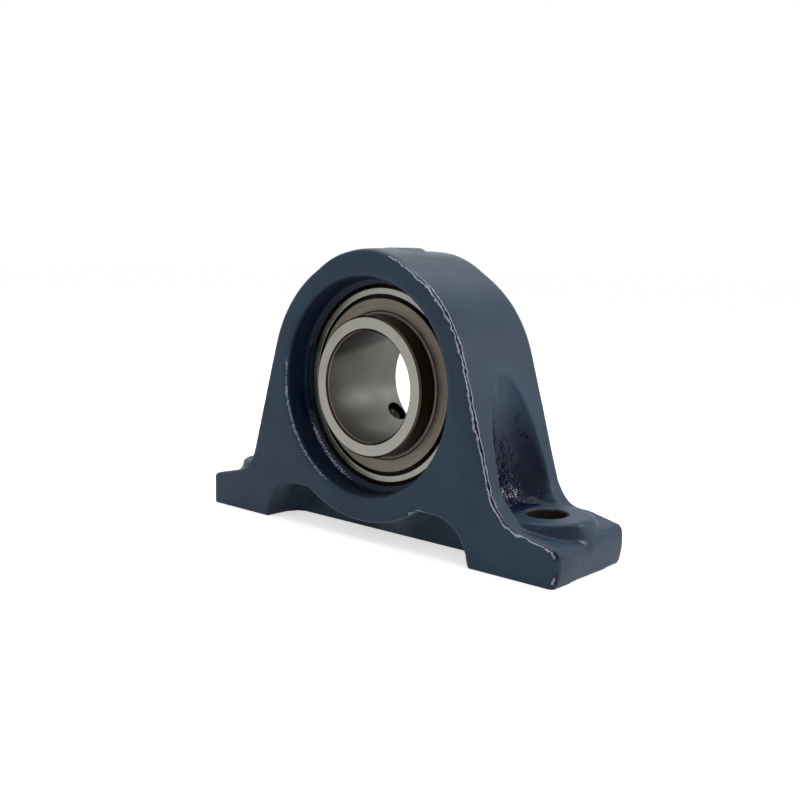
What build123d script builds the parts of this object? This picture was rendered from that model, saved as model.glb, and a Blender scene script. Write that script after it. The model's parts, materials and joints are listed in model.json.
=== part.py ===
from build123d import *
import os
from math import asin, atan2, cos, degrees, radians, sin, sqrt, tan

# Self-aligning ball bearing unit in a cast pillow block housing.
# +X runs along the base, +Y along the shaft, +Z up; the origin lies on the base plane,
# midway between the feet and midway through the housing. The loading side faces -Y.
# All lengths are in millimetres, all angles in degrees.

# ---------------------------------------------------------------- driving dimensions
# bearing insert, radially, from the shaft outwards
bore_d = 45.0             # shaft seat
bore_chamfer = 1.3
inner_chamfer = 0.8       # outer corners of the inner ring
outer_chamfer = 1.4       # outer corners of the outer ring
inner_web = 3.9           # inner ring under the ball groove
ball_d = 12.7
ball_count = 10
groove_depth = 2.2        # depth of both ball grooves below their shoulders
outer_web = 3.4           # outer ring above the ball groove
race_clearance = 0.08     # ball to groove
seat_clearance = 0.05     # outer ring to housing seat

# bearing insert, axially, from the ball centres outwards
cage_sheet = 0.8
cage_clearance = 0.25     # ball to cage pocket
seal_gap = 1.2            # cage to seal
seal_width = 1.8
flinger_gap = 0.45        # seal to flinger
flinger_sheet = 1.0
flinger_step = 0.5        # the flinger's rim stands this much proud of its collar
flinger_proud = 0.4       # flinger beyond the outer ring's face
nose_length = 8.15        # inner ring beyond the front flinger
screw_land = 4.1          # back flinger to the set screws' axis
screw_end = 6.3           # set screws' axis to the back end of the inner ring
screw_d = 8.0
screw_length = 7.5
screw_clearance = 0.04    # radial, in the tapped hole
screw_recess = 2.0        # point of the screw short of the bore
screw_angles = (222.0, 342.0)
hex_key = 4.0             # across flats of the screws' sockets
hex_depth = 3.2
point_chamfer = 1.2       # cup point of the screws

# cage and its rivets
cage_inset = 1.7          # cage band to the rings' shoulders
rivet_d = 1.9
rivet_head_d = 3.4
rivet_head = 0.8

# seals and flingers, radially
seal_groove_depth = 1.3
seal_clearance = 0.06     # seal lip to inner ring
seal_bead_clearance = 0.02
seal_plate = 0.7          # steel plate inside the rubber
seal_lip = 1.2            # lip of the seal beyond the plate, down to the inner ring
flinger_rim_gap = 1.4     # flinger to the outer ring's shoulder
flinger_collar = 1.8      # radial width of the flinger's collar
flinger_fold = 0.6        # radial width of the ridges each side of the collar's hollow

# housing, radially from the bearing seat outwards
lip_cover = 1.25          # recess beyond the seat
arch_wall = 9.3           # arch outside the recess
cap_rise = 1.6            # cap over the arch, where the wall is thicker
cap_r = 44.0
cap_blend = 30.0          # hollow where the cap runs out into the arch
barrel_wall = 10.55       # barrel under the seat
barrel_lift = 7.65        # barrel above the base plane

# housing, along the shaft
lip_margin = 1.05         # seat lip beyond the outer ring
recess_depth = 11.0       # seat lip to the housing's face
slot_clearance = 2.3      # loading slots beyond the width of the outer ring, each side
parting_offset = 1.8      # mould parting line behind the front face
front_draft = 26.0        # from the parting line to the front face
back_draft = 1.8          # from the parting line to the back face
back_round = 2.3
recess_round = 1.2

# low boss on top, with the dimple that marks where a grease hole may be drilled
boss_d = 18.0
boss_rise = 1.0
boss_round = 0.8
dimple_d = 2.4
dimple_depth = 0.8

# base and feet
bolt_offset = 20.9        # side of the arch to the bolt axis
bolt_hole_d = 15.5
foot_margin = 20.8        # bolt axis to the end of the foot
foot_inner = 18.4         # bolt axis to the inner wall of the foot
foot_end_height = 13.5
foot_tuck = 2.4           # foot's end drawn in at the sole
foot_bulge = 1.2          # and barrelled between sole and top
foot_slope = 13.0
foot_top_round = 3.9
foot_plan_round = 3.5
foot_sole_stock = 3.0     # cast below the base plane and machined away
flank_angle = 16.6        # flanks lean outwards from the arch
flank_fillet = 18.0
foot_arc_r = 17.4         # underside arch beside each foot
foot_arc_drop = 0.4       # its centre below the base plane
crown_fillet = 8.0
web_thickness = 12.0      # rib that joins the feet under the barrel
web_fillet = 7.0

# bolt pads and the pockets above them
pad_height = 20.0
pad_d = 34.0              # flat on top of the pad
pad_draft = 20.0
pad_round = 1.2
flange_thickness = 7.5    # flanges in front of and behind each pocket
pocket_corner_inset = 2.0
pocket_floor_inset = 0.6  # pocket floor inside the arch's side
pocket_reach = 15.2       # bolt axis to the foot of the pocket's wall
pocket_blend = 18.0

# ---------------------------------------------------------------- derived sizes
bore_r = bore_d / 2
ball_r = ball_d / 2
inner_r = bore_r + inner_web + groove_depth
race_gap = ball_d - 2 * groove_depth
land_r = inner_r + race_gap
pitch_r = (inner_r + land_r) / 2
sphere_r = land_r + groove_depth + outer_web
groove_r = 1.03 * ball_r
groove_shift = groove_r - ball_r - race_clearance

cage_half = ball_r + cage_clearance + cage_sheet
seal_in = cage_half + seal_gap
seal_out = seal_in + seal_width
flinger_in = seal_out + flinger_gap
flinger_out = flinger_in + flinger_sheet + flinger_step
outer_half = flinger_out - flinger_proud
nose_y = flinger_out + nose_length
screw_y = flinger_out + screw_land
tail_y = screw_y + screw_end

seat_r = sphere_r + seat_clearance
recess_r = seat_r + lip_cover
arch_r = recess_r + arch_wall
barrel_r = recess_r + barrel_wall
centre_z = barrel_r + barrel_lift
lip_y = outer_half + lip_margin
half_depth = lip_y + recess_depth
arch_top = centre_z + arch_r + cap_rise
bolt_x = arch_r + bolt_offset
half_length = bolt_x + foot_margin
pad_r = pad_d / 2
boss_top = arch_top + boss_rise
sole_z = -foot_sole_stock

bearing_centre = Vector(0, 0, centre_z)
shaft_axis = Axis(bearing_centre, (0, 1, 0))
# section plane through the shaft axis: local x along the shaft, local y outwards
section = Plane(origin=bearing_centre, x_dir=(0, 1, 0), z_dir=(1, 0, 0))

os.makedirs("parts", exist_ok=True)


def write(part, name):
    """Label one finished piece and write its STEP file."""
    part.label = name
    export_step(part, f"parts/{name}.step")


# balls sit on the pitch circle; the first lies at +X
ball_step = 360 / ball_count
ball_centres = [
    bearing_centre + Vector(pitch_r, 0, 0).rotate(Axis.Y, -ball_step * index) for index in range(ball_count)
]


def across(y):
    """Plane square to the shaft at y, centred on it: local x is +X, local y is +Z, facing -Y."""
    return Plane(origin=(0, y, centre_z), x_dir=(1, 0, 0), z_dir=(0, -1, 0))


def screw_plane(angle):
    """Plane through the shaft axis at the set screws, facing out along one screw."""
    outwards = Vector(1, 0, 0).rotate(Axis.Y, -angle)
    return Plane(origin=bearing_centre + Vector(0, screw_y, 0), x_dir=(0, 1, 0), z_dir=outwards)


# ---------------------------------------------------------------- housing
def casting_outline(plane):
    """Return the casting's outline on a plane: cap, arch, flanks, feet and a low, flat sole."""
    lean = tan(radians(flank_angle))
    rise = tan(radians(foot_slope))
    tangent_x = arch_r * cos(radians(flank_angle))
    tangent_z = centre_z + arch_r * sin(radians(flank_angle))
    # the flank and the foot's sloping top meet where their two lines cross
    drop = (tangent_z - foot_end_height - rise * (half_length - tangent_x)) / (1 - rise * lean)
    corner = (tangent_x + lean * drop, tangent_z - drop)
    foot_tip = (half_length, foot_end_height)
    foot_swell = (half_length - foot_tuck / 2 + foot_bulge, (foot_end_height + sole_z) / 2)
    foot_base = (half_length - foot_tuck, sole_z)
    # the cap's circle crosses the arch's this high above the arch's centre
    cap_lift = arch_top - cap_r - centre_z
    cross_z = (arch_r**2 - cap_r**2 + cap_lift**2) / (2 * cap_lift)
    cross_x = sqrt(arch_r**2 - cross_z**2)
    cross_turn = degrees(atan2(cross_z, cross_x))
    cap_turn = degrees(atan2(cross_z - cap_lift, cross_x))
    with BuildSketch(plane) as outline:
        with BuildLine():
            CenterArc((0, centre_z + cap_lift), cap_r, cap_turn, 90 - cap_turn)
            CenterArc((0, centre_z), arch_r, flank_angle, cross_turn - flank_angle)
            Polyline((tangent_x, tangent_z), corner, foot_tip)
            ThreePointArc(foot_tip, foot_swell, foot_base)
            Line(foot_base, (0, sole_z))
            mirror(about=Plane.YZ)
        make_face()
        cross = (cross_x, centre_z + cross_z)
        for point, radius in ((corner, flank_fillet), (foot_tip, foot_top_round), (cross, cap_blend)):
            for side in (-1, 1):
                fillet(outline.vertices().sort_by_distance((side * point[0], point[1]))[0], radius)
    return outline.sketch


# the mould's parting line runs round the casting a little behind the front face
parting_y = parting_offset - half_depth
towards_back = Plane(origin=(0, parting_y, 0), x_dir=(-1, 0, 0), z_dir=(0, 1, 0))
towards_front = Plane(origin=(0, parting_y, 0), x_dir=(1, 0, 0), z_dir=(0, -1, 0))
front_face = Plane(origin=(0, -half_depth, 0), x_dir=(1, 0, 0), z_dir=(0, -1, 0))

# the scoop above each bolt pad: its floor runs straight down from the arch's side and
# sweeps out towards the pad, its corners are nearly half round, and a round clearance
# for the bolt's washer meets it at the pad
pocket_half_width = half_depth - flange_thickness
pocket_floor = arch_r - pocket_floor_inset
pocket_run = bolt_x - pocket_reach - pocket_floor
pocket_fall = sqrt(pocket_blend**2 - (pocket_blend - pocket_run) ** 2)
with BuildPart() as pocket:
    with BuildSketch(Plane.XZ):
        with BuildLine():
            turn_z = pad_height + pocket_fall
            end_x = half_length + pad_r
            CenterArc((pocket_floor + pocket_blend, turn_z), pocket_blend, 180, 90)
            Polyline(
                (pocket_floor + pocket_blend, turn_z - pocket_blend),
                (end_x, turn_z - pocket_blend),
                (end_x, arch_top),
                (pocket_floor, arch_top),
                (pocket_floor, turn_z),
            )
        make_face()
    extrude(amount=pocket_half_width, both=True)
    side_edges = pocket.edges().filter_by(lambda e: abs(e.center().Y) > pocket_half_width / 2)
    floor_edges = side_edges.filter_by(lambda e: e.center().X < end_x - 1 and e.center().Z < arch_top - 1)
    fillet(floor_edges, pocket_half_width - pocket_corner_inset)
    split(bisect_by=Plane.XY.offset(pad_height), keep=Keep.TOP)
    with BuildSketch(Plane.XY.offset(pad_height)):
        with Locations((bolt_x, 0)):
            Circle(pocket_reach)
    extrude(amount=pocket_blend)

# the channel under the barrel, in front of the rib: an arch beside each foot, the round of
# the barrel between them, and rounded corners along the rib
with BuildPart() as channel:
    with BuildSketch(front_face):
        with BuildLine():
            inner_x = bolt_x - foot_inner
            arc_x = inner_x - foot_arc_r
            crown_z = foot_arc_r - foot_arc_drop
            crown_x = sqrt(barrel_r**2 - (centre_z - crown_z) ** 2)
            crown_turn = degrees(asin(crown_x / barrel_r))
            CenterArc((0, centre_z), barrel_r, crown_turn - 90, -crown_turn)
            Line((crown_x, crown_z), (arc_x, crown_z))
            CenterArc((arc_x, -foot_arc_drop), foot_arc_r, 0, 90)
            Polyline((inner_x, -foot_arc_drop), (inner_x, -crown_z), (0, -crown_z))
            mirror(about=Plane.YZ)
        make_face()
        crowns = [v for v in vertices() if abs(abs(v.X) - crown_x) < 0.01 and v.Z > crown_z - 0.01]
        fillet(crowns, radius=crown_fillet)
    extrude(amount=web_thickness / 2 - half_depth)
    rib_face = channel.faces().sort_by(Axis.Y)[-1]
    fillet(rib_face.edges().filter_by(lambda e: e.center().Z > -crown_z), radius=web_fillet)

# round bolt pad with a rounded rim, drafted down to the foot's rounded end
pad_depth = pad_height - foot_end_height + foot_top_round
with BuildPart() as pad:
    pad_skirt = pad_r + pad_depth * tan(radians(pad_draft))
    Cone(pad_skirt, pad_r, pad_depth, align=(Align.CENTER, Align.CENTER, Align.MAX))
    fillet(pad.edges().sort_by(Axis.Z)[-1], radius=pad_round)

# low boss for a grease nipple, rooted in the arch's wall
with BuildPart() as boss:
    with BuildSketch(Plane.XY.offset(boss_top)):
        Circle(boss_d / 2)
    extrude(amount=-(boss_rise + cap_rise + arch_wall / 2))
    fillet(boss.edges().sort_by(Axis.Z)[-1], radius=boss_round)

with BuildPart() as housing:
    extrude(casting_outline(towards_back), amount=2 * half_depth - parting_offset, taper=back_draft)
    back_edges = housing.faces().sort_by(Axis.Y)[-1].outer_wire().edges()
    fillet(back_edges.filter_by(lambda e: e.center().Z > foot_end_height / 2), radius=back_round)
    extrude(casting_outline(towards_front), amount=parting_offset, taper=front_draft)

    # channels in front of and behind the rib that joins the feet
    add(channel.part, mode=Mode.SUBTRACT)
    add(mirror(channel.part, about=Plane.XZ, mode=Mode.PRIVATE), mode=Mode.SUBTRACT)

    # bolt pads
    with Locations((-bolt_x, 0, pad_height), (bolt_x, 0, pad_height)):
        add(pad.part)

    # the sole is machined flat, and the feet have rounded corners in plan
    split(bisect_by=Plane.XY, keep=Keep.TOP)
    with BuildSketch(Plane.XY):
        RectangleRounded(2 * half_length, 2 * half_depth, foot_plan_round)
    extrude(amount=arch_top, mode=Mode.INTERSECT)

    # boss on the arch, and its round dimple
    add(boss.part)
    dimple_r = dimple_d**2 / (8 * dimple_depth) + dimple_depth / 2
    with Locations((0, 0, boss_top - dimple_depth + dimple_r)):
        Sphere(dimple_r, mode=Mode.SUBTRACT)

    # pockets above the pads, and bolt holes
    add(pocket.part, mode=Mode.SUBTRACT)
    add(mirror(pocket.part, about=Plane.YZ, mode=Mode.PRIVATE), mode=Mode.SUBTRACT)
    with BuildSketch(Plane.XY):
        with Locations((-bolt_x, 0), (bolt_x, 0)):
            Circle(bolt_hole_d / 2)
    extrude(amount=pad_height, mode=Mode.SUBTRACT)

    # recesses on both faces and the ball-shaped seat between them, turned in one profile
    with BuildSketch(section):
        with BuildLine():
            lip_r = sqrt(seat_r**2 - lip_y**2)
            for side in (-1, 1):
                end_y = 2 * side * half_depth
                Polyline((side * lip_y, lip_r), (side * lip_y, recess_r), (end_y, recess_r), (end_y, 0), (0, 0))
            ThreePointArc((-lip_y, lip_r), (0, seat_r), (lip_y, lip_r))
        make_face()
        fillet([v for v in vertices() if abs(v.Y) < half_depth and v.Z > lip_r + centre_z], recess_round)
    revolve(axis=shaft_axis, mode=Mode.SUBTRACT)

    # slots on the loading side, where the insert goes in turned a quarter turn
    with BuildSketch(across(-2 * lip_y)):
        Circle(seat_r)
        Rectangle(2 * seat_r, 2 * (outer_half + slot_clearance), mode=Mode.INTERSECT)
    extrude(amount=-2 * lip_y, mode=Mode.SUBTRACT)
write(housing.part, "housing")


# ---------------------------------------------------------------- bearing rings
with BuildPart() as outer_ring:
    with BuildSketch(section):
        with BuildLine():
            face_r = sqrt(sphere_r**2 - outer_half**2)
            Polyline((-outer_half, face_r), (-outer_half, land_r), (outer_half, land_r), (outer_half, face_r))
            ThreePointArc((outer_half, face_r), (0, sphere_r), (-outer_half, face_r))
        make_face()
        chamfer(vertices().filter_by(lambda v: v.Z > centre_z + land_r + 0.01), outer_chamfer)
        with Locations((0, pitch_r - groove_shift)):
            Circle(groove_r, mode=Mode.SUBTRACT)
        with Locations(((seal_in + seal_out) / 2, land_r), (-(seal_in + seal_out) / 2, land_r)):
            Rectangle(seal_width, 2 * seal_groove_depth, mode=Mode.SUBTRACT)
    revolve(axis=shaft_axis)
write(outer_ring.part, "outer_ring")

with BuildPart() as inner_ring:
    with BuildSketch(section):
        with BuildLine():
            Polyline((-nose_y, bore_r), (tail_y, bore_r), (tail_y, inner_r), (-nose_y, inner_r), close=True)
        make_face()
        bore_corners = vertices().filter_by(lambda v: v.Z < centre_z + bore_r + 0.01)
        chamfer(bore_corners, bore_chamfer)
        rim_corners = vertices().filter_by(lambda v: v.Z > centre_z + inner_r - 0.01)
        chamfer(rim_corners, inner_chamfer)
        with Locations((0, pitch_r + groove_shift)):
            Circle(groove_r, mode=Mode.SUBTRACT)
    revolve(axis=shaft_axis)
    for angle in screw_angles:
        with BuildSketch(screw_plane(angle)):
            Circle(screw_d / 2 + screw_clearance)
        extrude(amount=inner_r + ball_d, mode=Mode.SUBTRACT)
write(inner_ring.part, "inner_ring")

# ---------------------------------------------------------------- balls, cage and rivets
for index, centre in enumerate(ball_centres):
    with BuildPart() as ball:
        with Locations(centre):
            Sphere(ball_r)
    write(ball.part, f"ball_{index + 1:02d}")

# two pressed halves meet between the balls, where a rivet holds them together
cup_r = ball_r + cage_clearance
band_width = race_gap - 2 * cage_inset
for side, name in ((-1, "front"), (1, "back")):
    with BuildPart() as cage:
        with Locations(*ball_centres):
            Sphere(cup_r + cage_sheet)
        with BuildSketch(section):
            with Locations((side * cage_half, pitch_r)):
                Rectangle(2 * cage_half, band_width)
        revolve(axis=shaft_axis, mode=Mode.INTERSECT)
        with BuildSketch(section):
            with Locations((side * cage_sheet / 2, pitch_r)):
                Rectangle(cage_sheet, band_width)
        revolve(axis=shaft_axis)
        with Locations(*ball_centres):
            Sphere(cup_r, mode=Mode.SUBTRACT)
        with BuildSketch(across(0)):
            with PolarLocations(pitch_r, ball_count, start_angle=ball_step / 2):
                Circle(rivet_d / 2)
        extrude(amount=cage_sheet, both=True, mode=Mode.SUBTRACT)
    write(cage.part, f"cage_{name}")

with BuildPart() as cage_rivets:
    with BuildSketch(across(-cage_sheet)):
        with PolarLocations(pitch_r, ball_count, start_angle=ball_step / 2):
            Circle(rivet_d / 2)
    extrude(amount=-2 * cage_sheet)
    for face_y, reach in ((-cage_sheet, rivet_head), (cage_sheet, -rivet_head)):
        with BuildSketch(across(face_y)):
            with PolarLocations(pitch_r, ball_count, start_angle=ball_step / 2):
                Circle(rivet_head_d / 2)
        extrude(amount=reach)
write(cage_rivets.part, "cage_rivets")

# ---------------------------------------------------------------- seals, flingers and screws
seal_mid = (seal_in + seal_out) / 2
lip_root_r = inner_r + seal_lip
for side, name in ((-1, "front"), (1, "back")):
    # rubber ring snapped into its groove, with a lip on the inner ring and a steel plate outside
    plate_y = seal_out - seal_plate
    plate_in_r = lip_root_r + seal_plate
    with BuildPart() as seal:
        with BuildSketch(section):
            with BuildLine():
                points = [
                    (seal_mid, inner_r + seal_clearance),
                    (seal_in, lip_root_r),
                    (seal_in, land_r + seal_groove_depth - seal_bead_clearance),
                    (seal_out, land_r + seal_groove_depth - seal_bead_clearance),
                    (seal_out, land_r),
                    (plate_y, land_r),
                    (plate_y, plate_in_r),
                    (seal_out, plate_in_r),
                    (seal_out, lip_root_r),
                ]
                Polyline([(side * along, out) for along, out in points], close=True)
            make_face()
        revolve(axis=shaft_axis)
    write(seal.part, f"seal_{name}")

    with BuildPart() as plate:
        with BuildSketch(section):
            with Locations((side * (plate_y + seal_out) / 2, (plate_in_r + land_r) / 2)):
                Rectangle(seal_plate, land_r - plate_in_r)
        revolve(axis=shaft_axis)
    write(plate.part, f"seal_plate_{name}")

    # pressed flinger: a collar on the inner ring, a hem and a flat rim
    with BuildPart() as flinger:
        with BuildSketch(section):
            with BuildLine():
                hem_r = inner_r + flinger_collar
                rim_r = land_r - flinger_rim_gap
                points = [
                    (flinger_in, inner_r),
                    (flinger_out, inner_r),
                    (flinger_out, inner_r + flinger_fold),
                    (flinger_out - flinger_step, inner_r + flinger_fold),
                    (flinger_out - flinger_step, hem_r - flinger_fold),
                    (flinger_out, hem_r - flinger_fold),
                    (flinger_out, rim_r),
                    (flinger_out - flinger_sheet, rim_r),
                    (flinger_out - flinger_sheet, hem_r),
                    (flinger_in, hem_r - flinger_step),
                ]
                Polyline([(side * along, out) for along, out in points], close=True)
            make_face()
        revolve(axis=shaft_axis)
    write(flinger.part, f"flinger_{name}")

for angle, name in zip(screw_angles, ("a", "b")):
    point = screw_plane(angle).offset(bore_r + screw_recess)
    with BuildPart() as screw:
        with BuildSketch(point):
            Circle(screw_d / 2)
        extrude(amount=screw_length)
        chamfer(screw.faces().sort_by_distance(point.origin)[0].edges(), point_chamfer)
        with BuildSketch(point.offset(screw_length)):
            RegularPolygon(hex_key / 2, 6, major_radius=False)
        extrude(amount=-hex_depth, mode=Mode.SUBTRACT)
    write(screw.part, f"set_screw_{name}")
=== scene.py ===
"""Looks of a self-aligning ball bearing unit in a cast pillow block housing.

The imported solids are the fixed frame: +X runs along the base, +Y along the shaft and +Z up.
Lengths in the classes below are millimetres, and the meshes are in metres.
"""

from __future__ import annotations

import json
import logging
import math
from dataclasses import dataclass, field
from enum import Enum

import bmesh
import bpy
import numpy as np
from mathutils import Matrix, Vector


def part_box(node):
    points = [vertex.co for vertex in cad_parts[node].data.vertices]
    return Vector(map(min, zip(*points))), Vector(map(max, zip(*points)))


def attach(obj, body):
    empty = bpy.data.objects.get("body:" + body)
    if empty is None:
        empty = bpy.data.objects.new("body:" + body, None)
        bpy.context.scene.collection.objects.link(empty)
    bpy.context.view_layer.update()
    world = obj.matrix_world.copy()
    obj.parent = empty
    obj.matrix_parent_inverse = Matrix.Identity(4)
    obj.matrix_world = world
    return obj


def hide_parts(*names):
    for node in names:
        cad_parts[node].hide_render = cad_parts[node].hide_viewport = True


LOG = logging.getLogger("pillow_block")
MM = 0.001
Socket = bpy.types.NodeSocket

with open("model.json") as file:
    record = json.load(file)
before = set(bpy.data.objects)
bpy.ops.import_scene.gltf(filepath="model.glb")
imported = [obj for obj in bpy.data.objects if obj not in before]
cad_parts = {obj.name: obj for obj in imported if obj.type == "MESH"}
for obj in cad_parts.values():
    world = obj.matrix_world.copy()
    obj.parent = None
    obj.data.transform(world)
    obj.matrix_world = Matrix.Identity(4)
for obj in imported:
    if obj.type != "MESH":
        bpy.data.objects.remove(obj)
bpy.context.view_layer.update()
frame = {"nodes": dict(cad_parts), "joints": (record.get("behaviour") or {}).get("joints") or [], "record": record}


# ------------------------------------------------------------------ colours and shader nodes
def linear(hex_colour: str) -> tuple[float, float, float, float]:
    """Turn an sRGB hex colour into the linear colour that a shader takes.

    Args:
        hex_colour: six hex digits, with or without a leading "#".

    Returns:
        Linear red, green, blue and an alpha of 1.
    """
    digits = hex_colour.lstrip("#")
    srgb = np.array([int(digits[i : i + 2], 16) for i in (0, 2, 4)]) / 255
    value = np.where(srgb <= 0.04045, srgb / 12.92, ((srgb + 0.055) / 1.055) ** 2.4)
    return (float(value[0]), float(value[1]), float(value[2]), 1.0)


def feed(tree: bpy.types.NodeTree, socket: Socket, value: object) -> None:
    """Link a socket to another node's output, or give it a plain value.

    Args:
        tree: the node tree that holds both.
        socket: the input to feed.
        value: an output socket, or a value that the input takes.
    """
    if isinstance(value, Socket):
        tree.links.new(value, socket)
    else:
        socket.default_value = value


def add_node(
    tree: bpy.types.NodeTree, kind: str, inputs: dict | None = None, **settings: object
) -> bpy.types.Node:
    """Add one node to a tree.

    Args:
        tree: the node tree.
        kind: the node's Blender type.
        inputs: socket name or number to a plain value or to another node's output.
        **settings: attributes of the node, set before its sockets.

    Returns:
        The new node.
    """
    node = tree.nodes.new(kind)
    for key, value in settings.items():
        setattr(node, key, value)
    for key, value in (inputs or {}).items():
        feed(tree, node.inputs[key], value)
    return node


def direct_rays(tree: bpy.types.NodeTree) -> Socket:
    """Tell the rays that show the background itself from the light that falls on the unit.

    Args:
        tree: the node tree that needs to know.

    Returns:
        1 for camera, glossy and transmission rays, and 0 for the others.
    """
    path = add_node(tree, "ShaderNodeLightPath").outputs
    seen = path["Is Camera Ray"]
    for ray in ("Is Glossy Ray", "Is Transmission Ray"):
        seen = add_node(tree, "ShaderNodeMath", {0: seen, 1: path[ray]}, operation="MAXIMUM").outputs[0]
    return seen


class Shader:
    """A material under construction, with short methods for the nodes that it uses most."""

    def __init__(self, name: str) -> None:
        """Start an empty node tree with its output and a Principled shader."""
        self.material = bpy.data.materials.new(name)
        self.material.use_nodes = True
        self.tree = self.material.node_tree
        self.tree.nodes.clear()
        self.output = self.add("ShaderNodeOutputMaterial")
        self.surface = self.add("ShaderNodeBsdfPrincipled")
        self.tree.links.new(self.surface.outputs["BSDF"], self.output.inputs["Surface"])

    def add(self, kind: str, inputs: dict | None = None, **settings: object) -> bpy.types.Node:
        """Add one node to the material, as add_node does, and return it."""
        return add_node(self.tree, kind, inputs, **settings)

    def place(self) -> Socket:
        """Return the object's own coordinates, in metres."""
        return self.add("ShaderNodeTexCoord").outputs["Object"]

    def noise(self, vector: Socket, grain_mm: float, detail: float = 3.0) -> Socket:
        """Return soft noise from 0 to 1.

        Args:
            vector: coordinates in metres.
            grain_mm: the size of one blotch.
            detail: octaves of finer noise.

        Returns:
            The noise node's value.
        """
        inputs = {"Vector": vector, "Scale": 1 / (grain_mm * MM), "Detail": detail}
        return self.add("ShaderNodeTexNoise", inputs).outputs[0]

    def ramp(self, value: Socket, low: float, high: float, start: float = 0.0, end: float = 1.0) -> Socket:
        """Map a value from low..high to start..end, held at both ends, and return the result."""
        inputs = {0: value, 1: low, 2: high, 3: start, 4: end}
        return self.add("ShaderNodeMapRange", inputs, clamp=True).outputs[0]

    def mix(self, share: object, first: object, second: object) -> Socket:
        """Blend two colours, where a share of 0 is the first, and return the blend."""
        return self.add("ShaderNodeMix", {0: share, 6: first, 7: second}, data_type="RGBA").outputs[2]

    def math(self, operation: str, first: object, second: object = 0.0, third: object = 0.0) -> Socket:
        """Combine two or three numbers and return the result."""
        inputs = {0: first, 1: second, 2: third}
        return self.add("ShaderNodeMath", inputs, operation=operation).outputs[0]

    def times(self, first: object, *others: object) -> Socket:
        """Multiply numbers.

        Args:
            first: the first factor.
            *others: the other factors.

        Returns:
            The product.
        """
        for other in others:
            first = self.math("MULTIPLY", first, other)
        return first

    def vector(self, operation: str, first: object, second: object = (0.0, 0.0, 0.0)) -> Socket:
        """Combine two vectors, or measure one, and return the result."""
        node = self.add("ShaderNodeVectorMath", {0: first, 1: second}, operation=operation)
        return node.outputs["Value" if operation in ("LENGTH", "DOT_PRODUCT") else "Vector"]

    def bump(self, height: Socket, depth_mm: float, under: Socket | None = None) -> Socket:
        """Bend the normal by a height field.

        Args:
            height: the field, from 0 to 1.
            depth_mm: how much 1 stands above 0.
            under: a bent normal to add to, if there is one.

        Returns:
            The bent normal.
        """
        inputs = {"Height": height, "Distance": depth_mm * MM, "Strength": 1.0}
        if under is not None:
            inputs["Normal"] = under
        return self.add("ShaderNodeBump", inputs).outputs[0]

    def set(self, **inputs: object) -> None:
        """Feed the Principled shader's sockets, with underscores for the spaces in their names."""
        for key, value in inputs.items():
            feed(self.tree, self.surface.inputs[key.replace("_", " ")], value)


# ------------------------------------------------------------------ finishes
FIELDS = ("hollow", "wet", "flash", "lip", "crown", "bare")


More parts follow.
